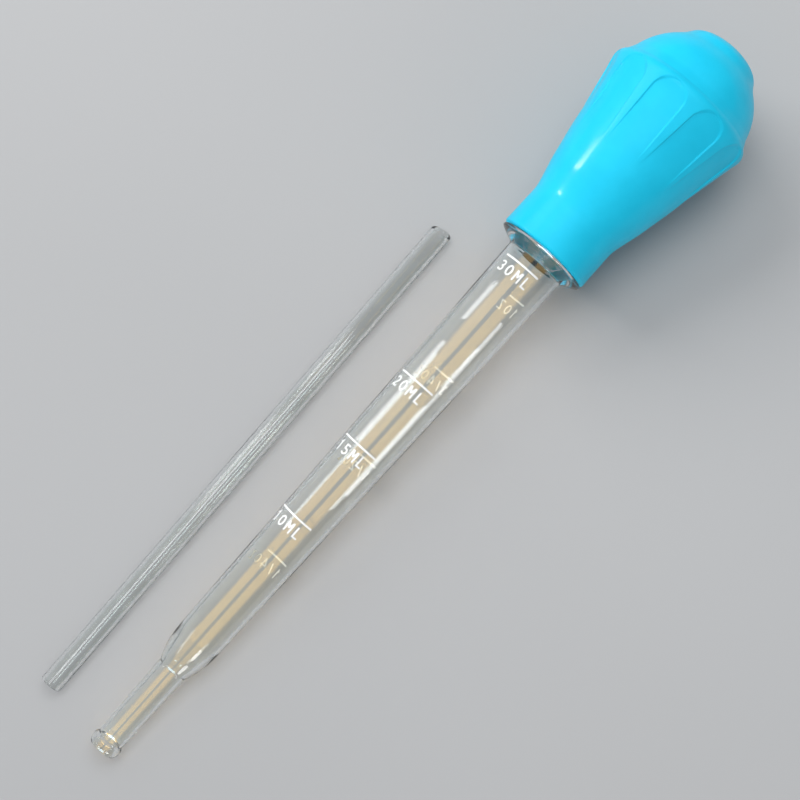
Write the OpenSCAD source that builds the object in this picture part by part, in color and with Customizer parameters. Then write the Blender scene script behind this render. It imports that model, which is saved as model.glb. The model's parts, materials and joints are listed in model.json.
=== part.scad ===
// Hand dropping pipette: a graduated glass barrel with a fluted rubber squeeze bulb on its neck,
// and a loose glass extension tube that lies beside it. Millimetres, +Z up, bench top at z = 0.
// The pipette lies on the bench: the bulb rests on the arch of its lowest flute and the nozzle on its bead.
// Along the pipette, x is measured from the nozzle's tip towards the bulb's dome.

/* [Glass pipette] */
// Length of the nozzle, from its tip to the start of the shoulder
nozzle_len = 32.1; // [24:0.1:38]
// Radius of the nozzle just behind its bead
nozzle_tip_r = 4.45; // [4.3:0.05:4.7]
// Radius of the nozzle where the shoulder starts
nozzle_root_r = 5.1; // [4.9:0.05:5.4]
// Radius of the nozzle's bore
nozzle_bore_r = 3.65; // [3.55:0.05:3.75]
// Place along the axis where the shoulder ends and the barrel starts
barrel_start = 44.6; // [41:0.1:48]
// Radius of the barrel at its narrow end
barrel_low_r = 7.55; // [7:0.05:8]
// Place along the axis where the barrel meets the flare
barrel_end = 198; // [185:0.5:210]
// Radius of the barrel at its wide end
barrel_top_r = 10; // [9.5:0.1:10.5]
// Thickness of the barrel's wall
glass_wall = 1.2; // [1:0.1:1.4]
// Radius of the neck that the bulb grips
neck_r = 13.6; // [13:0.1:14]
// Depth of the neck inside the bulb
neck_len = 22; // [18:0.5:24]

/* [Rubber bulb] */
// Length of the bulb, from its mouth to the top of its cap
bulb_len = 84.5; // [82:0.5:88]
// Radius of the bulb at its mouth
mouth_r = 15.5; // [15.2:0.1:16]
// Radius of the bulb over its ribs, at the crest
crest_r = 25.2; // [24.8:0.1:26]
// Number of flutes round the bulb
flutes = 10; // [10:2:12]
// Distance of a flute's floor from the axis, at the crest
flute_floor = 23.8; // [23.5:0.1:24.1]
// Radius of the hollow curve across a flute
flute_curve = 60; // [50:5:90]

/* [Extension tube] */
// Length of the loose tube
tube_len = 186.6; // [150:0.2:190]
// Outer radius of the loose tube
tube_r = 3.5; // [3.3:0.05:3.5]
// Bore radius of the loose tube
tube_bore_r = 2.5; // [2.2:0.1:2.7]
// Distance of the loose tube's middle from the pipette's axis
tube_side = 29; // [28:0.5:40]
// Angle between the loose tube and the pipette, seen from above
tube_yaw = 2; // [0:0.1:3]

/* [Scale marks] */
// Thickness of the enamel
enamel = 0.06; // [0.04:0.01:0.1]
// Width of a tick line
tick_w = 0.6; // [0.4:0.05:0.8]
// Height of the millilitre figures
figure_h = 3.7; // [3:0.1:4]
// Height of the ounce figures
oz_figure_h = 3.4; // [2.8:0.1:3.6]

/* [Hidden] */

// Glass
bead_r = 5.15;
bead_nose = 2.8;
bead_back = 1.4;
mouth_lip = 0.2;
shoulder_mid = 36.6;
shoulder_mid_r = 6.45;
flare_len = 3.7;
flange_r = 15.2;
flange_round = 0.7;
neck_bore_r = 12.1;
mouth_x = barrel_end + flare_len;
neck_end = mouth_x + neck_len;
neck_round = 0.5;
taper = (barrel_top_r - barrel_low_r) / (barrel_end - barrel_start);

// Bulb: s is measured from the bulb's mouth, and fit_gap is its running fit on the neck
seat_gap = 0.1;
bulb_x = mouth_x + seat_gap;
fit_gap = 0.05;
bulb_bore_r = neck_r + fit_gap;
lip = 0.8;
waist_s = 13.5;
waist_r = 15.3;
cone_s = 24.3;
cone_r = 17.9;
crest_s = 59.6;
crest_arc = 3;
crest_mid_r = crest_r - crest_arc;
dome_s = 60;
dome_r = 23;
cap_r = 13.3;
cap_s = dome_s + sqrt(pow(dome_r, 2) - pow(cap_r, 2));
cap_h = bulb_len - cap_s;
hollow_start = 27;
hollow_start_r = 16;
hollow_end_r = 21;
dome_hollow_r = 20.4;
flute_start = 36;
flute_start_r = cone_r + (flute_start - cone_s) * (crest_r - cone_r) / (crest_s - cone_s);
flute_slope = atan((flute_floor - flute_start_r) / (crest_s - flute_start));
// Each flute ends in a round arch: this far along, and with this radius
arch_s = 55.4;
arch_r = 5.9;

// The part of the bulb's wall that moves when it is squeezed, seen from above
window_s = [28, 74];
window_half = 15;
window_gap = 0.12;

// Resting on the bench: the tilt that lets the bead and the lowest flute's arch touch it together
function arch_height(s) = sqrt(
    pow(crest_mid_r + sqrt(pow(crest_arc, 2) - pow(s - crest_s, 2)), 2)
    - pow(arch_r, 2) + pow(s - arch_s, 2));
tilt = max([for (s = [crest_s - 0.5:0.05:arch_s + arch_r])
    atan((arch_height(s) - bead_r) / (bulb_x + s - bead_nose))]);
tip_z = bead_r * cos(tilt) - bead_nose * sin(tilt);

// Overall box, which centres the part on the origin
tip_r = nozzle_bore_r + mouth_lip;
x_low = bead_nose * cos(tilt) - tip_r * sin(tilt) - norm([bead_nose * cos(tilt), (bead_r - tip_r) * sin(tilt)]);
x_high = (bulb_x + cap_s) * cos(tilt) + norm([cap_h * cos(tilt), cap_r * sin(tilt)]);
tube_x = 95.7;
y_high = tube_side + tube_len / 2 * sin(tube_yaw) + tube_r * cos(tube_yaw);
shift_x = -(x_low + x_high) / 2;
shift_y = -(y_high - crest_r) / 2;

// Shapes
module on_bench() {
    translate([shift_x, shift_y, tip_z]) rotate([0, -tilt, 0]) children();
}
// Turns an outline of [radius, x] points about the pipette's axis
module lathe(outline, turn = 360) {
    rotate([0, 90, 0]) rotate_extrude(angle = turn, $fn = 120) polygon(outline);
}
// Points on an arc, as [radius, x]: angle 0 points away from the axis and 90 towards the dome
function arc(r_mid, x_mid, size, a1, a2, n) =
    [for (i = [0:n]) let (a = a1 + (a2 - a1) * i / n) [r_mid + size * cos(a), x_mid + size * sin(a)]];
// Points on a curve that leaves p along u and arrives at q along v
function bend(p, u, q, v, n) = [for (i = [0:n]) let (t = i / n)
    p * (1 + 2 * t) * pow(1 - t, 2) + u * t * pow(1 - t, 2)
    + q * pow(t, 2) * (3 - 2 * t) - v * pow(t, 2) * (1 - t)];
function barrel_r(x) = barrel_low_r + taper * (x - barrel_start);

glass_outer = concat(
    [for (a = [0:11.25:90]) [tip_r + (bead_r - tip_r) * sin(a), bead_nose * (1 - cos(a))]],
    arc(bead_r - bead_back, bead_nose, bead_back, 15, 60, 3),
    [[nozzle_tip_r, bead_nose + 1.5 * bead_back]],
    bend([nozzle_root_r, nozzle_len], [0.5, 3], [shoulder_mid_r, shoulder_mid], [1.6, 4], 4),
    bend([shoulder_mid_r, shoulder_mid], [1.6, 4], [barrel_low_r, barrel_start], [0.15, 9], 5),
    [[barrel_top_r, barrel_end]],
    arc(flange_r - flange_round, mouth_x - flange_round, flange_round, -62, 90, 5),
    [[neck_r, mouth_x]],
    arc(neck_r - neck_round, neck_end - neck_round, neck_round, 0, 90, 3)
);
glass_inner = concat(
    arc(neck_bore_r + neck_round, neck_end - neck_round, neck_round, 90, 180, 3),
    [[neck_bore_r, mouth_x + 1.5]],
    bend([neck_bore_r, mouth_x + 1.5], [-0.4, -3], [barrel_top_r - glass_wall, barrel_end - 0.5], [0, -3], 5),
    bend([barrel_low_r - glass_wall, barrel_start + 1], [-0.1, -6],
        [nozzle_bore_r, nozzle_len + 1], [-1.4, -6], 6),
    [[nozzle_bore_r, mouth_lip]]
);

module glass_barrel() {
    color("lightcyan") on_bench() lathe(concat(glass_outer, glass_inner));
}

bulb_outer = concat(
    [[mouth_r - lip, 0]],
    arc(mouth_r - lip, lip, lip, -60, 0, 3),
    bend([mouth_r - 0.1, 3], [0, 5], [waist_r, waist_s], [0, 5], 4),
    bend([waist_r, waist_s], [0.2, 6], [cone_r, cone_s], [2, 9], 5),
    arc(crest_mid_r, crest_s, crest_arc, -12, 56, 8),
    arc(0, dome_s, dome_r, 15, acos(cap_r / dome_r), 8),
    [for (a = [10:10:90]) [cap_r * cos(a), cap_s + cap_h * sin(a)]]
);
bulb_inner = concat(
    arc(0, dome_s, dome_hollow_r, 90, 12, 8),
    [[hollow_end_r, crest_s - 2], [hollow_start_r, hollow_start], [bulb_bore_r, neck_len + 0.5], [bulb_bore_r, 0]]
);

module flute_cutter(turn) {
    rotate([turn, 0, 0]) intersection() {
        translate([crest_s, 0, flute_floor]) rotate([0, -flute_slope, 0])
            translate([0, 0, flute_curve]) rotate([0, 90, 0])
                cylinder(r = flute_curve, h = 80, center = true, $fn = 180);
        linear_extrude(height = 40) {
            translate([arch_s, 0]) circle(r = arch_r, $fn = 90);
            translate([flute_start - 6, -arch_r]) square([arch_s - flute_start + 6, 2 * arch_r]);
        }
    }
}
module bulb_shell() {
    translate([bulb_x, 0, 0]) difference() {
        lathe(concat(bulb_outer, bulb_inner));
        for (i = [0:flutes - 1]) flute_cutter(i * 360 / flutes);
    }
}
// A straight column with round ends over the wall that moves
module squeeze_window(half) {
    translate([bulb_x, 0, 0]) linear_extrude(height = 40) {
        translate([window_s[0] + window_half, 0]) circle(r = half, $fn = 90);
        translate([window_s[1] - window_half, 0]) circle(r = half, $fn = 90);
        translate([window_s[0] + window_half, -half])
            square([window_s[1] - window_s[0] - 2 * window_half, 2 * half]);
    }
}
module rubber_bulb() {
    color("deepskyblue") on_bench() difference() {
        bulb_shell();
        squeeze_window(window_half + window_gap);
    }
}
module squeeze_wall() {
    color("skyblue") on_bench() intersection() {
        bulb_shell();
        squeeze_window(window_half);
    }
}

module extension_tube() {
    end_round = 0.35;
    outline = concat(
        arc(tube_r - end_round, end_round, end_round, -90, 0, 3),
        arc(tube_r - end_round, tube_len - end_round, end_round, 0, 90, 3),
        [[tube_bore_r, tube_len], [tube_bore_r, 0]]
    );
    color("azure") translate([shift_x + tube_x, shift_y + tube_side, tube_r]) rotate([0, 0, tube_yaw])
        translate([-tube_len / 2, 0, 0]) lathe(outline);
}

// Scale marks: thin enamel that follows the barrel, clear of the glass by this much
enamel_gap = 0.01;
// Figures are drawn in a box 0.62 wide and 1 high, with this pen
pen = 0.15;
figure_pitch = 0.88;
// Gaps from a tick to the figures under it
figure_drop = 1.7;
oz_figure_drop = 2.2;
// Angles round the barrel, from the top towards the loose tube: the ounce scale is at the back
tick_right = -34;
oz_tick_left = 215;
oz_tick_len = 9.5;
function ring_path(x, y, rx, ry, a1, a2, n) =
    [for (i = [0:n]) let (a = a1 + (a2 - a1) * i / n) [x + rx * cos(a), y + ry * sin(a)]];
function figure_paths(c) =
    c == "0" || c == "O" ? [
        ring_path(0.31, 0.5, 0.23, 0.42, -94, 94, 9), ring_path(0.31, 0.5, 0.23, 0.42, 86, 274, 9)] :
    c == "1" ? [[[0.14, 0.74], [0.33, 0.93], [0.33, 0]]] :
    c == "2" ? [
        concat(ring_path(0.3, 0.69, 0.23, 0.23, 165, -30, 7), [[0.1, 0.1]]), [[0.04, 0.075], [0.57, 0.075]]] :
    c == "3" ? [
        ring_path(0.28, 0.71, 0.22, 0.21, 150, -85, 8), ring_path(0.28, 0.29, 0.24, 0.215, 85, -150, 8)] :
    c == "4" ? [[[0.42, 1], [0.08, 0.34]], [[0.02, 0.3], [0.6, 0.3]], [[0.44, 0], [0.44, 1]]] :
    c == "5" ? [
        [[0.1, 0.925], [0.54, 0.925]], [[0.16, 0.96], [0.16, 0.5]],
        ring_path(0.28, 0.32, 0.25, 0.245, 120, -150, 8)] :
    c == "M" ? [
        [[0.08, 0], [0.08, 1]], [[0.56, 0], [0.56, 1]], [[0.1, 0.98], [0.33, 0.4]], [[0.31, 0.4], [0.54, 0.98]]] :
    c == "L" ? [[[0.12, 1], [0.12, 0.075], [0.54, 0.075]]] :
    c == "Z" ? [[[0.06, 0.925], [0.56, 0.925]], [[0.5, 0.9], [0.12, 0.1]], [[0.06, 0.075], [0.56, 0.075]]] :
    [[[0.1, 0], [0.5, 1]]];
function side_of(p, q) = let (d = (q - p) / norm(q - p)) [-d[1], d[0]];
// Direction across the pen at point i of a path, lengthened at a corner
function across(path, i) = let (
    last = len(path) - 1,
    n1 = side_of(path[max(i - 1, 0)], path[max(i, 1)]),
    n2 = side_of(path[min(i, last - 1)], path[min(i + 1, last)])
) (n1 + n2) / (1 + n1 * n2);
function ribbon(path) = let (last = len(path) - 1) concat(
    [for (i = [0:last]) path[i] + across(path, i) * pen / 2],
    [for (i = [last:-1:0]) path[i] - across(path, i) * pen / 2]
);
// Thin shell on the barrel between two places along it
module enamel_band(x1, x2, turn = 360) {
    low = enamel_gap;
    high = enamel_gap + enamel;
    lathe([
        [barrel_r(x1) + low, x1], [barrel_r(x1) + high, x1], [barrel_r(x2) + high, x2], [barrel_r(x2) + low, x2]
    ], turn);
}
module tick(x, left, right) {
    rotate([180 - left, 0, 0]) enamel_band(x - tick_w / 2, x + tick_w / 2, left - right);
}
// A word whose tops are at x, with its first figure at the angle left
module word(figures, x, height, left) {
    base = x - height;
    pitch = figure_pitch * height * 180 / PI / barrel_r(base);
    half_w = 0.31 * height;
    for (i = [0:len(figures) - 1]) intersection() {
        enamel_band(base - 0.5, base + height + 0.5);
        rotate([(i + 0.5) * pitch - left, 0, 0]) translate([base, half_w, barrel_r(base) - 0.6])
            rotate([0, 0, -90]) linear_extrude(height = 1.2)
                for (path = figure_paths(figures[i])) polygon(height * ribbon(path));
    }
}
module ml_mark(x, figures, left) {
    color("white") on_bench() {
        tick(x, left, tick_right);
        word(figures, x - figure_drop, figure_h, left);
    }
}
module oz_mark(x, figures, length = oz_tick_len) {
    color("white") on_bench() {
        tick(x, oz_tick_left, oz_tick_left - length / barrel_r(x) * 180 / PI);
        word(figures, x - oz_figure_drop, oz_figure_h, oz_tick_left + 2);
    }
}

// Places of the graduations along the barrel, and where the millilitre ticks start
module mark_10_ml() ml_mark(92.8, "10ML", 62);
module mark_15_ml() ml_mark(121.4, "15ML", 57);
module mark_20_ml() ml_mark(147.2, "20ML", 53);
module mark_30_ml() ml_mark(194, "30ML", 43);
module mark_quarter_oz() oz_mark(78.2, "1/4OZ");
module mark_half_oz() oz_mark(119, "1/2OZ");
module mark_three_quarter_oz() oz_mark(154.6, "3/4OZ");
module mark_one_oz() oz_mark(186.6, "1OZ", 7);

glass_barrel();
rubber_bulb();
squeeze_wall();
extension_tube();
mark_10_ml();
mark_15_ml();
mark_20_ml();
mark_30_ml();
mark_quarter_oz();
mark_half_oz();
mark_three_quarter_oz();
mark_one_oz();
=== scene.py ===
# A glass dropping pipette with a fluted rubber squeeze bulb, and a loose glass tube beside it.
# Shapes are worked out in millimetres in the pipette's own frame: x along its axis from the nozzle's
# tip, y towards the loose tube and z up, away from the bench.
import json
import math

import bpy
import numpy as np
from mathutils import Matrix, Vector


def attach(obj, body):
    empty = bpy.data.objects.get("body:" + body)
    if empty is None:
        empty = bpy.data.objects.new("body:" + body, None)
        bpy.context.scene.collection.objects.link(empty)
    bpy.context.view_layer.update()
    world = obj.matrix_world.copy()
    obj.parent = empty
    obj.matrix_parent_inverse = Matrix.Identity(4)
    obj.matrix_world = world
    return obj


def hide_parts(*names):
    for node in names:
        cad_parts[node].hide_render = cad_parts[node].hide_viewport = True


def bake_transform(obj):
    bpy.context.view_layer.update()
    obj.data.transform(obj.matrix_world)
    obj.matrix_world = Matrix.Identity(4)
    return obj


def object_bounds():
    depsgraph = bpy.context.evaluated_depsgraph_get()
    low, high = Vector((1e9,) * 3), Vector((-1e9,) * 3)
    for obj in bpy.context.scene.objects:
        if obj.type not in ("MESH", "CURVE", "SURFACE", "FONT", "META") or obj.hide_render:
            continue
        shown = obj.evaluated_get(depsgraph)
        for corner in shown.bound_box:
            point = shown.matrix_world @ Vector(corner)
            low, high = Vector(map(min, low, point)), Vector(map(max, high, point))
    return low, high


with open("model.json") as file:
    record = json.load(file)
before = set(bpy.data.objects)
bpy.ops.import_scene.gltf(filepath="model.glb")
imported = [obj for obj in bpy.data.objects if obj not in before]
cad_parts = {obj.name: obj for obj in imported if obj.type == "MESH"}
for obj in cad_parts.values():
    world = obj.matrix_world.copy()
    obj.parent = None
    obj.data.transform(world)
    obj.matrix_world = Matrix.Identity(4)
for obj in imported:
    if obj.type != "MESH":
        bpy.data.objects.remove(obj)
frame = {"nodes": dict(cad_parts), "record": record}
cad_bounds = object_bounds()

MM = 0.001
MOUNTS = {mount["name"]: mount for mount in frame["record"]["mounts"]}

# Glass pipette
BORE_DEPTH = 0.2
NOZZLE_LEN, NOZZLE_TIP_R, NOZZLE_ROOT_R, NOZZLE_BORE_R = 32.1, 4.45, 5.1, 3.65
BEAD_R, BEAD_NOSE, BEAD_BACK = 5.15, 2.8, 1.4
WELD_X = 32.6
SHOULDER_MID, SHOULDER_MID_R = 36.6, 6.45
BARREL_START, BARREL_LOW_R = 44.6, 7.55
BARREL_END, BARREL_TOP_R = 198, 10
GLASS_WALL = 1.2
MOUTH_X, FLANGE_R, FLANGE_ROUND = 201.7, 15.2, 0.7
NECK_R, NECK_BORE_R, NECK_LEN, NECK_ROUND = 13.6, 12.1, 22, 0.5

# Rubber bulb: s is measured from its mouth
BULB_X = 201.8
BULB_LEN = 84.5
MOUTH_R, LIP = 15.5, 0.8
WAIST_S, WAIST_R = 13.5, 15.3
CONE_S, CONE_R = 24.3, 17.9
CREST_S, CREST_R, CREST_ARC = 60.1, 25.2, 3.6
CREST_END = 58
DOME_S, DOME_R = 60, 23
CAP_R = 13.3
CAP_S = DOME_S + math.sqrt(DOME_R ** 2 - CAP_R ** 2)
BULB_BORE_R = 13.65
HOLLOW = [(20.9, 57.6), (16, 27), (13.65, 22.5)]
DOME_HOLLOW_R = 20.4
FLUTES = 10
PANEL_START, PANEL_FULL = 33.5, 52
ARCH_S, ARCH_R = 55.4, 5.9
PANEL_EDGE, PANEL_MIDDLE, PANEL_WALL = 0.45, 0.8, 0.45
# The bulb was pushed on slightly askew, so its axis leans this much away from the loose tube
LEAN, LEAN_START, LEAN_START_INSIDE = 0.0155, 8, 26

# Loose tube
TUBE_ROUND = 0.6
TUBE_LIP_IN = 0.12
TUBE_SLANT = math.tan(math.radians(26))


# --- Where the parts lie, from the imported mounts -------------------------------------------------

class Axis:
    """A straight axis in the row frame, which carries shapes worked out in millimetres."""

    def __init__(self, start, along):
        self.along = Vector(along).normalized()
        self.start = Vector(start)
        self.side = Vector((0, 0, 1)).cross(self.along).normalized()
        self.up = self.along.cross(self.side)

    def points(self, x, y, z):
        """Row-frame points, in metres, of arrays of millimetres."""
        basis = np.array([self.along, self.side, self.up]) * MM
        return np.array(self.start) + np.stack([x, y, z], -1) @ basis

    def point(self, x, y, z):
        return Vector(self.points(np.array(x), np.array(y), np.array(z)))


def pipette_axis():
    bore = MOUNTS["nozzle_bore"]
    along = -Vector(bore["axis"])
    return Axis(Vector(bore["pos_m"]) - along * BORE_DEPTH * MM, along)


def tube_axis():
    bore = MOUNTS["tube_bore"]
    return Axis(bore["pos_m"], -Vector(bore["axis"]))


PIPETTE = pipette_axis()
TUBE = tube_axis()


# --- Outlines: lists of (radius, x) in millimetres -----------------------------------------------

def arc(radius, x, size, start, end, count):
    """Points on an arc: 0 degrees points away from the axis, and 90 along it."""
    return [(radius + size * math.cos(a), x + size * math.sin(a))
            for a in np.radians(np.linspace(start, end, count))]


def bend(p, u, q, v, count):
    """Points on a curve that leaves p along u and arrives at q along v."""
    p, u, q, v = (np.array(item, float) for item in (p, u, q, v))
    points = [p * (1 + 2 * t) * (1 - t) ** 2 + u * t * (1 - t) ** 2
              + q * t ** 2 * (3 - 2 * t) - v * t ** 2 * (1 - t)
              for t in np.linspace(0, 1, count)]
    return [tuple(point) for point in points]


def lengths(outline):
    """Distance along the outline at each of its points."""
    steps = np.linalg.norm(np.diff(outline, axis=0), axis=1)
    return np.concatenate([[0], np.cumsum(steps)])


def resample(outline, density):
    """The outline with a new point each time that density(x) points per millimetre add up to one."""
    outline = np.array(outline, float)
    place = lengths(outline)
    fine = np.arange(0, place[-1], 0.02)
    x = np.interp(fine, place, outline[:, 1])
    count = np.cumsum(density(x)) * 0.02
    wanted = np.interp(np.linspace(0, count[-1], int(count[-1]) + 1), count, fine)
    wanted[0], wanted[-1] = 0, place[-1]
    return np.stack([np.interp(wanted, place, outline[:, k]) for k in (0, 1)], -1)


def soften(outline, reach):
    """The outline with its corners rounded over about reach millimetres. Its ends stay in place."""
    step = 0.1
    outline = resample(outline, lambda x: np.full_like(x, 1 / step))
    for _ in range(round(2 * (reach / step) ** 2)):
        outline[1:-1] = (outline[:-2] + 2 * outline[1:-1] + outline[2:]) / 4
    return outline


def smoothstep(low, high, value):
    t = np.clip((value - low) / (high - low), 0, 1)
    return t * t * (3 - 2 * t)


def ridge(value, width):
    return np.exp(-(value / width) ** 2)


# --- Meshes --------------------------------------------------------------------------------------

def skin(name, rings, axis, poles=()):
    """A closed mesh from rings, an array of rows, columns and (x, y, z) in millimetres.

    Without poles the last row joins the first. With two poles, (x before the first row, x after the
    last row), each end closes at a point on the axis.
    """
    rows, columns = rings.shape[:2]
    points = axis.points(*np.moveaxis(rings.reshape(-1, 3), -1, 0))
    row = np.arange(rows - 1 if poles else rows)[:, None] * columns
    after = (row + columns) % (rows * columns)
    column = np.arange(columns)[None, :]
    following = (column + 1) % columns
    quads = np.stack([row + column, row + following, after + following, after + column], -1)
    faces = quads.reshape(-1, 4).tolist()
    if poles:
        ends = axis.points(np.array(poles), np.zeros(2), np.zeros(2))
        points = np.concatenate([points, ends])
        first, last = rows * columns, rows * columns + 1
        base = (rows - 1) * columns
        for i in range(columns):
            j = (i + 1) % columns
            faces.append((first, j, i))
            faces.append((last, base + i, base + j))
    mesh = bpy.data.meshes.new(name)
    mesh.from_pydata(points.tolist(), [], faces)
    mesh.shade_smooth()
    piece = bpy.data.objects.new(name, mesh)
    bpy.context.scene.collection.objects.link(piece)
    return piece


def spin(x, r, angles):
    """Rings from places x and radii r, arrays of rows by columns. Angle 0 is up, 90 degrees is +y."""
    x, r, angles = np.broadcast_arrays(x, r, angles)
    return np.stack([x, r * np.sin(angles), r * np.cos(angles)], -1)


def even_angles(count):
    return np.linspace(0, 2 * math.pi, count, endpoint=False)


# --- Rubber bulb ---------------------------------------------------------------------------------

def bulb_outside():
    """From the middle of the cap to the mouth."""
    cap = [(CAP_R * math.cos(a), CAP_S + (BULB_LEN - CAP_S) * math.sin(a))
           for a in np.radians(np.linspace(90, 0, 24))]
    dome = arc(0, DOME_S, DOME_R, math.degrees(math.acos(CAP_R / DOME_R)), 15, 20)
    crest = arc(CREST_R - CREST_ARC, CREST_S, CREST_ARC, CREST_END, -12, 16)
    cone = bend((CONE_R, CONE_S), (-2, -9), (WAIST_R, WAIST_S), (-0.2, -6), 16)
    throat = bend((WAIST_R, WAIST_S), (0, -5), (MOUTH_R - 0.1, 3), (0, -5), 12)
    lip = arc(MOUTH_R - LIP, LIP, LIP, 0, -75, 8)
    outline = cap + dome + crest + cone + throat + lip
    crisp, soft = soften(outline, 0.28), soften(outline, 1.5)
    s = crisp[:, 1:]
    ledge = CREST_S + CREST_ARC * math.sin(math.radians(CREST_END)) + 0.7
    return crisp + (soft - crisp) * np.maximum(ridge(s - CAP_S, 3), 0.8 * ridge(s - ledge, 1.2))


def bulb_inside():
    """From the mouth to the middle of the dome."""
    rim = [(BULB_BORE_R + 0.25, 0), (BULB_BORE_R, 0.3), (BULB_BORE_R, 12)]
    dome = arc(0, DOME_S, DOME_HOLLOW_R, 12, 90, 20)
    return rim + HOLLOW[::-1] + dome


def bulb_angles(r):
    """Angles of the columns in rows of radius r. They follow the straight edges of the panels."""
    half_pitch = math.pi / FLUTES
    fine = np.linspace(0, 1, 1001)
    density = 1 + 4.5 * ridge(fine - 0.5 + 0.03, 0.07)
    count = np.cumsum(density) - density / 2
    per_side = 24
    place = np.interp((np.arange(per_side) + 0.5) / per_side, count / (count[-1] + density[-1] / 2), fine)
    edge = np.clip(ARCH_R / r, 0.2, 0.28)
    side = np.where(place < 0.5, 2 * place * edge, edge + (2 * place - 1) * (half_pitch - edge))
    one = np.concatenate([-side[:, ::-1], side], 1)
    return np.concatenate([one + 2 * k * half_pitch for k in range(FLUTES)], 1)


def flute_depth(s, r, angles):
    """Depth of the arch-topped panels between the ribs, in millimetres."""
    pitch = 2 * math.pi / FLUTES
    across = r * ((angles + pitch / 2) % pitch - pitch / 2)
    reach = np.hypot(across, np.maximum(s - ARCH_S, 0)) / ARCH_R
    wall = smoothstep(0, PANEL_WALL, (1 - reach) * ARCH_R)
    hollow = PANEL_EDGE + (PANEL_MIDDLE - PANEL_EDGE) * np.clip(1 - reach ** 2, 0, 1)
    return smoothstep(PANEL_START, PANEL_FULL, s) * wall * hollow


def lean(rings, s, start):
    """Shifts the rings sideways by the lean of the bulb's axis."""
    past = s - start
    rings[..., 1] -= LEAN * (past + np.sqrt(past ** 2 + 9)) / 2
    return rings


def seam(s, r, angles):
    """Height of the fine parting line that the mould leaves along two opposite ribs."""
    off = np.abs(np.abs((angles + math.pi) % (2 * math.pi) - math.pi) - math.pi / 2)
    return 0.05 * ridge(r * off, 0.22) * smoothstep(2, 8, s) * np.clip(r / CAP_R, 0, 1)


def make_bulb():
    outside = resample(bulb_outside(), lambda s: 0.95 + 3.1 * ridge(s - 60, 5.5) + 4 * ridge(s, 1.2))[1:]
    inside = resample(bulb_inside(), lambda s: 0.28 + 2.5 * ridge(s, 0.6))[:-1]
    r, s = outside[:, :1], outside[:, 1:]
    angles = bulb_angles(r)
    shaped = r - flute_depth(s, r, angles) + seam(s, r, angles)
    outer = lean(spin(BULB_X + s, shaped, angles), s, LEAN_START)
    r, s = inside[:, :1], inside[:, 1:]
    inner = lean(spin(BULB_X + s, r, bulb_angles(r)), s, LEAN_START_INSIDE)
    rings = np.concatenate([outer, inner])
    bulb = skin("bulb_skin", rings, PIPETTE, (BULB_X + BULB_LEN, BULB_X + DOME_S + DOME_HOLLOW_R))
    bulb.data.materials.append(rubber_material())
    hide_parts("rubber_bulb", "squeeze_wall")
    press = Vector((0.239, 0, 0.971)) * 18.7
    start = Vector((BULB_X + 22, 0, 15.5))
    PIPETTE.point(*start)
    PIPETTE.point(*(start + press))
    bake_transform(bulb)
    return bulb


# --- Glass ---------------------------------------------------------------------------------------

def barrel_radius(x):
    return BARREL_LOW_R + (BARREL_TOP_R - BARREL_LOW_R) * (x - BARREL_START) / (BARREL_END - BARREL_START)


def pipette_outside():
    """From the nozzle's mouth to the neck's mouth."""
    tip_r = NOZZLE_BORE_R + BORE_DEPTH
    shoulder = (SHOULDER_MID_R, SHOULDER_MID)
    nose = [(tip_r + (BEAD_R - tip_r) * math.sin(a), BEAD_NOSE * (1 - math.cos(a)))
            for a in np.radians(np.linspace(0, 90, 20))]
    back = arc(BEAD_R - BEAD_BACK, BEAD_NOSE, BEAD_BACK, 8, 62, 10)
    root = bend((NOZZLE_TIP_R, BEAD_NOSE + 1.6 * BEAD_BACK), (0.1, 6), (NOZZLE_ROOT_R, NOZZLE_LEN), (0.5, 6), 24)
    rise = bend((NOZZLE_ROOT_R, NOZZLE_LEN), (0.5, 3), shoulder, (1.6, 4), 14)
    ogive = bend(shoulder, (1.6, 4), (BARREL_LOW_R, BARREL_START), (0.15, 9), 16)
    flange = arc(FLANGE_R - FLANGE_ROUND, MOUTH_X - FLANGE_ROUND, FLANGE_ROUND, -62, 85, 14)
    neck = [(NECK_R + 0.35, MOUTH_X), (NECK_R, MOUTH_X + 0.35)]
    end = arc(NECK_R - NECK_ROUND, MOUTH_X + NECK_LEN - NECK_ROUND, NECK_ROUND, 0, 90, 8)
    return nose + back + root + rise[1:] + ogive[1:] + [(BARREL_TOP_R, BARREL_END)] + flange + neck + end


def pipette_inside():
    """From the neck's mouth back to the nozzle's mouth."""
    mouth = arc(NECK_BORE_R + NECK_ROUND, MOUTH_X + NECK_LEN - NECK_ROUND, NECK_ROUND, 90, 180, 8)
    top = (BARREL_TOP_R - GLASS_WALL, BARREL_END - 0.5)
    throat = bend((NECK_BORE_R, MOUTH_X + 1.5), (-0.4, -3), top, (0, -3), 16)
    funnel = bend((BARREL_LOW_R - GLASS_WALL, BARREL_START + 1), (-0.1, -6),
                  (NOZZLE_BORE_R, NOZZLE_LEN + 1), (-1.4, -6), 18)
    return mouth + throat + funnel + [(NOZZLE_BORE_R, BORE_DEPTH + 0.2), (NOZZLE_BORE_R + 0.06, 0.06)]


def glass_rows(x):
    """Rows per millimetre along the pipette's outline, with more where it curves."""
    bends = 5 * ridge(x, 3) + 3 * ridge(x - 4.5, 1.5) + 1.6 * ridge(x - SHOULDER_MID, 6)
    return 0.8 + bends + 5 * ridge(x - WELD_X, 1) + 5 * ridge(x - MOUTH_X + 1.6, 2.2) + 4 * ridge(x - MOUTH_X - NECK_LEN, 1)


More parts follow.
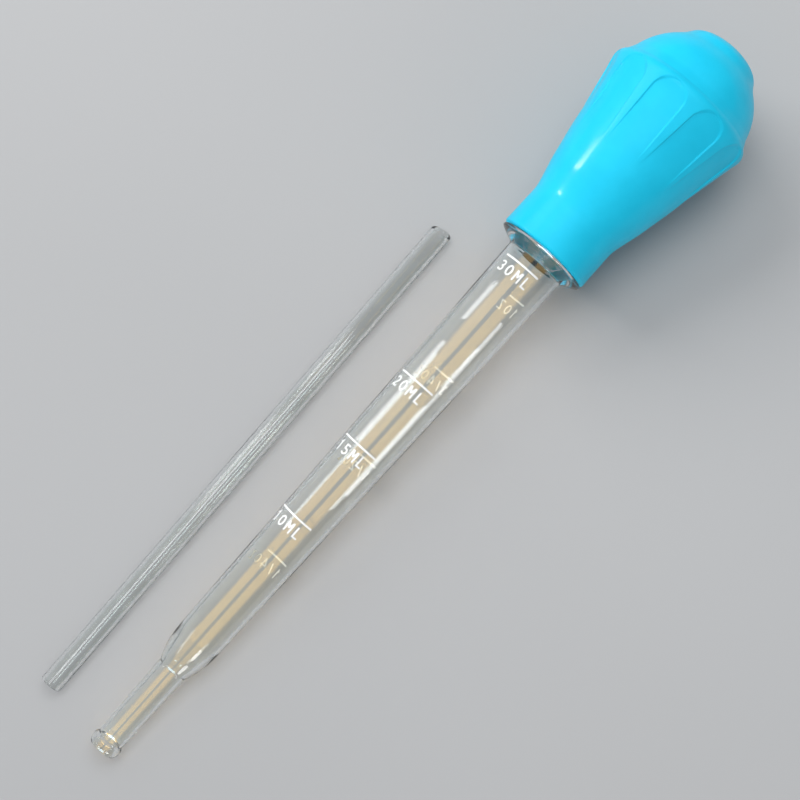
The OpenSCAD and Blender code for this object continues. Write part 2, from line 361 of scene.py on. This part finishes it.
def make_pipette():
    outside = resample(soften(pipette_outside(), 0.12), glass_rows)
    inside = resample(soften(pipette_inside(), 0.2), glass_rows)
    angles = even_angles(180)
    x = outside[:, 1:]
    # The nozzle was drawn by hand, so it swells a little halfway, and a fine groove marks its weld
    weld = 0.22 * ridge(x - WELD_X, 0.5)
    outer = spin(x, outside[:, :1] + 0.09 * ridge(x - 17, 6) - weld, angles)
    inner = spin(inside[:, 1:], inside[:, :1], angles)
    pipette = skin("pipette_glass", np.concatenate([outer[::-1], inner[::-1]]), PIPETTE)
    pipette.data.materials.append(glass_material("pipette_glass", PIPETTE))
    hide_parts("glass_barrel")
    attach(pipette, "pipette")
    return pipette


def make_tube():
    outer_r = MOUNTS["tube_outside"]["dims"]["r_mm"]
    bore_r = MOUNTS["tube_bore"]["dims"]["r_mm"]
    length = MOUNTS["tube_bore"]["dims"]["length_mm"]
    centre = (outer_r + bore_r - TUBE_LIP_IN) / 2
    reach = outer_r - centre
    near = arc(centre, TUBE_ROUND, 1, -180, 0, 22)
    near = [(centre + (r - centre) * reach, TUBE_ROUND + (x - TUBE_ROUND) * TUBE_ROUND) for r, x in near]
    far = [(r, length - x) for r, x in near[::-1]]
    outline = near + far + [(bore_r, length - 3), (bore_r, 3), near[0]]
    rows = resample(outline, lambda x: 0.4 + 9 * ridge(x, 0.9) + 9 * ridge(length - x, 0.9))[:-1]
    angles = even_angles(96)
    x = rows[:, 1:]
    rings = spin(x, rows[:, :1], angles)
    # The far end was snapped off at a slant, so it opens a little upwards
    rings[..., 0] -= smoothstep(length - 9, length - 1, x) * TUBE_SLANT * rings[..., 2]
    tube = skin("extension_tube_glass", rings[::-1], TUBE)
    tube.data.materials.append(glass_material("tube_glass", TUBE))
    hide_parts("extension_tube")
    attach(tube, "extension_tube")
    return tube


def dress_marks():
    enamel = enamel_material()
    marks = [node for name, node in frame["nodes"].items() if name.startswith("mark_")]
    for mark in marks:
        mark.data.materials.clear()
        mark.data.materials.append(enamel)
    return marks


# --- Materials -----------------------------------------------------------------------------------

class Nodes:
    """A new material and short ways to add nodes to it."""

    def __init__(self, name):
        self.material = bpy.data.materials.new(name)
        self.material.use_nodes = True
        self.tree = self.material.node_tree
        self.shader = self.tree.nodes["Principled BSDF"]
        self.place = self.add("ShaderNodeTexCoord").outputs["Object"]

    def add(self, kind, settings=None, **sockets):
        node = self.tree.nodes.new(kind)
        for key, value in (settings or {}).items():
            setattr(node, key, value)
        for key, value in sockets.items():
            self.put(node.inputs[key.replace("_", " ")], value)
        return node

    def put(self, socket, value):
        if isinstance(value, bpy.types.NodeSocket):
            self.tree.links.new(value, socket)
        else:
            socket.default_value = value

    def noise(self, grain, detail=2.0, roughness=0.5, place=None):
        """Noise whose grains are about grain metres across."""
        node = self.add("ShaderNodeTexNoise", Scale=1 / grain, Detail=detail, Roughness=roughness)
        self.put(node.inputs["Vector"], place or self.place)
        return node.outputs["Fac"]

    def ramp(self, value, *stops):
        """A colour or value between stops of (place, colour)."""
        node = self.add("ShaderNodeValToRGB", Fac=value)
        elements = node.color_ramp.elements
        while len(elements) < len(stops):
            elements.new(0.5)
        for element, (place, colour) in zip(elements, stops):
            element.position = place
            element.color = (*colour, 1) if isinstance(colour, tuple) else (colour, colour, colour, 1)
        return node.outputs["Color"]

    def bump(self, height, depth, strength, below=None):
        """A bump map with heights of up to depth metres."""
        node = self.add("ShaderNodeBump", Height=height, Distance=depth, Strength=strength)
        if below is not None:
            self.put(node.inputs["Normal"], below)
        return node.outputs["Normal"]

    def stretched(self, axis, factor):
        """Coordinates in which a pattern is factor times longer along the axis."""
        turn = Vector((1, 0, 0)).rotation_difference(axis.along).inverted().to_euler()
        turned = self.add("ShaderNodeMapping", {"vector_type": "POINT"}, Vector=self.place, Rotation=turn)
        scaled = self.add("ShaderNodeMapping", Vector=turned.outputs[0], Scale=(1 / factor, 1, 1))
        return scaled.outputs[0]

    def finish(self, **sockets):
        for key, value in sockets.items():
            self.put(self.shader.inputs[key.replace("_", " ")], value)
        return self.material


def rubber_material():
    """Satin moulded rubber: faint clouds in the pigment, a fine skin texture and soft scuffs."""
    n = Nodes("bulb_rubber")
    clouds = n.noise(0.011, 3, 0.6)
    colour = n.ramp(clouds, (0.3, (0.003, 0.53, 0.78)), (0.72, (0.007, 0.58, 0.84)))
    scuffs = n.noise(0.0035, 4, 0.65)
    roughness = n.ramp(scuffs, (0.35, 0.5), (0.7, 0.62))
    waves = n.bump(n.noise(0.006, 2, 0.5), 0.0002, 0.25)
    skin_grain = n.bump(n.noise(0.00045, 3, 0.7), 0.00004, 0.3, waves)
    return n.finish(Base_Color=colour, Roughness=roughness, Normal=skin_grain, IOR=1.5, Specular_IOR_Level=0.25,
                    Coat_Weight=0.3, Coat_Roughness=0.14, Coat_IOR=1.45)


def glass_material(name, axis):
    """Clear glass with the faint lengthwise lines of drawn tubing and a little haze in places."""
    n = Nodes(name)
    lines = n.bump(n.noise(0.0015, 2, 0.5, n.stretched(axis, 30)), 0.00001, 0.1)
    waves = n.bump(n.noise(0.01, 1, 0.4, n.stretched(axis, 5)), 0.0004, 0.8, lines)
    haze = n.ramp(n.noise(0.004, 3, 0.6), (0.45, 0.0), (0.85, 0.04))
    tint = n.ramp(n.noise(0.02, 1, 0.5), (0.3, (0.955, 0.985, 0.98)), (0.7, (0.975, 0.992, 0.988)))
    return n.finish(Base_Color=tint, Roughness=haze, Normal=waves, IOR=1.5, Transmission_Weight=1.0)


def enamel_material():
    """White fired enamel, a little uneven and pitted."""
    n = Nodes("white_enamel")
    body = n.noise(0.0012, 3, 0.6)
    colour = n.ramp(body, (0.3, (0.8, 0.82, 0.82)), (0.65, (0.95, 0.96, 0.95)))
    pits = n.bump(n.noise(0.0003, 2, 0.6), 0.00003, 0.5)
    roughness = n.ramp(body, (0.3, 0.3), (0.7, 0.5))
    return n.finish(Base_Color=colour, Roughness=roughness, Normal=pits)


def floor_material():
    n = Nodes("floor_matt")
    colour = n.ramp(n.noise(0.35, 2, 0.5), (0.3, (0.41, 0.415, 0.42)), (0.7, (0.44, 0.445, 0.45)))
    return n.finish(Base_Color=colour, Roughness=0.85)


# --- Stage, camera and lights --------------------------------------------------------------------

def make_floor():
    size = 3
    mesh = bpy.data.meshes.new("floor")
    corners = [(-size, -size, 0), (size, -size, 0), (size, size, 0), (-size, size, 0)]
    mesh.from_pydata(corners, [], [(0, 1, 2, 3)])
    mesh.materials.append(floor_material())
    floor = bpy.data.objects.new("floor", mesh)
    bpy.context.scene.collection.objects.link(floor)
    floor.location.z = min(0, cad_bounds[0][2]) - 0.0001
    return floor


CAMERA_DISTANCE = 0.517
CAMERA_LEAN = math.radians(-11.5)
CAMERA_ROLL = math.radians(48.25)
CAMERA_LENS_ANGLE = math.radians(26.5)
CAMERA_AIM = (139.7, 2.9)


def towards(angle):
    """Direction at this angle round the pipette, from straight up towards the loose tube."""
    return PIPETTE.up * math.cos(angle) + PIPETTE.side * math.sin(angle)


def make_camera():
    out = towards(CAMERA_LEAN)
    left = towards(CAMERA_LEAN + math.pi / 2)
    aim = PIPETTE.point(CAMERA_AIM[0], 0, 0) + left * CAMERA_AIM[1] * MM
    right = PIPETTE.along * math.cos(CAMERA_ROLL) - left * math.sin(CAMERA_ROLL)
    up = PIPETTE.along * math.sin(CAMERA_ROLL) + left * math.cos(CAMERA_ROLL)
    data = bpy.data.cameras.new("camera")
    data.angle = CAMERA_LENS_ANGLE
    data.clip_start = 0.01
    camera = bpy.data.objects.new("camera", data)
    bpy.context.scene.collection.objects.link(camera)
    turn = Matrix((right, up, out)).transposed().to_4x4()
    camera.matrix_world = Matrix.Translation(aim + out * CAMERA_DISTANCE) @ turn
    bpy.context.scene.camera = camera
    return aim


def panel(name, target, angle, along, distance, size, power, colour=(1, 1, 1)):
    """A soft rectangular lamp that faces target: angle is round the pipette and along is its lead
    towards the bulb, in degrees. size is its length along the pipette and its width, in metres."""
    data = bpy.data.lights.new(name, "AREA")
    data.shape = "RECTANGLE"
    data.size, data.size_y = size
    data.energy = power
    data.color = colour
    out = towards(math.radians(angle))
    out = out * math.cos(math.radians(along)) + PIPETTE.along * math.sin(math.radians(along))
    across = out.cross(PIPETTE.along).normalized()
    lamp = bpy.data.objects.new(name, data)
    bpy.context.scene.collection.objects.link(lamp)
    turn = Matrix((across.cross(out), across, out)).transposed().to_4x4()
    lamp.matrix_world = Matrix.Translation(target + out * distance) @ turn
    lamp.visible_camera = False
    return lamp


def gather(name, pieces):
    collection = bpy.data.collections.new(name)
    for piece in pieces:
        collection.objects.link(piece)
    return collection


def make_lights(aim, solids, floor):
    """Soft lamps that are not themselves mirrored. Only the top one makes the glass cast a shadow."""
    lit = gather("lit_by_softboxes", solids + [floor])
    opaque = gather("block_softboxes", solids)
    for name, *settings in (
            ("key_softbox", 52, 12, 1.1, (0.9, 0.6), 8.6),
            ("top_softbox", 5, 20, 1.3, (1.2, 0.8), 7.5),
            ("right_softbox", -72, 0, 1.0, (1.0, 0.5), 1.3)):
        lamp = panel(name, aim, *settings)
        lamp.visible_glossy = False
        lamp.light_linking.receiver_collection = lit
        if name != "top_softbox":
            lamp.light_linking.blocker_collection = opaque
    # Light that the glass flange would pass on to the mouth of the bulb behind it
    lamp = panel("mouth_fill", aim, math.degrees(CAMERA_LEAN), -78, 1.0, (0.3, 0.3), 3)
    lamp.visible_glossy = False
    lamp.light_linking.receiver_collection = opaque
    lamp.light_linking.blocker_collection = opaque
    world = bpy.data.worlds.new("studio")
    world.use_nodes = True
    tree = world.node_tree
    background = tree.nodes["Background"]
    up = tree.nodes.new("ShaderNodeSeparateXYZ")
    place = tree.nodes.new("ShaderNodeTexCoord")
    ramp = tree.nodes.new("ShaderNodeValToRGB")
    tree.links.new(place.outputs["Generated"], up.inputs[0])
    tree.links.new(up.outputs["Z"], ramp.inputs["Fac"])
    tree.links.new(ramp.outputs["Color"], background.inputs["Color"])
    ramp.color_ramp.elements[0].color = (0.1, 0.105, 0.11, 1)
    ramp.color_ramp.elements[1].color = (0.62, 0.63, 0.65, 1)
    bpy.context.scene.world = world


def make_reflections(aim, bulb, pipette, tube):
    """Lamps and cards that are only there to be mirrored."""
    middle = math.degrees(CAMERA_LEAN)
    warm = (1, 0.6, 0.1)
    for name, pieces, *settings in (
            ("bulb_glint", (bulb,), 56, -5, 1.0, (0.03, 0.2), 2),
            ("shoulder_glint", (pipette,), -72, -48, 1.0, (0.2, 0.25), 1.8),
            ("flange_glint", (pipette,), middle, -68, 1.2, (0.5, 0.8), 15, (0.6, 0.83, 1)),
            ("tube_streak", (tube,), 5, -3, 1.0, (0.45, 0.35), 2.4),
            ("streak_left", (pipette, tube), 52, -1.4, 1.1, (0.125, 0.4), 0.8),
            ("streak_left_short", (pipette, tube), 52, 4.7, 1.1, (0.052, 0.4), 0.33),
            ("streak_right", (pipette, tube), -72, -1.4, 1.0, (0.206, 0.3), 0.95),
            ("warm_card_left", (pipette,), middle + 29.5, 0, 0.9, (1.5, 0.7), 6, warm),
            ("warm_card_right", (pipette,), middle - 29.5, 0, 0.9, (1.5, 0.7), 6, warm)):
        lamp = panel(name, aim, *settings)
        lamp.visible_diffuse = False
        lamp.light_linking.receiver_collection = gather(name + "_lights", pieces)


bulb = make_bulb()
pipette = make_pipette()
tube = make_tube()
marks = dress_marks()
floor = make_floor()
aim = make_camera()
make_lights(aim, [bulb] + marks, floor)
make_reflections(aim, bulb, pipette, tube)
bpy.context.scene.view_settings.view_transform = "Standard"
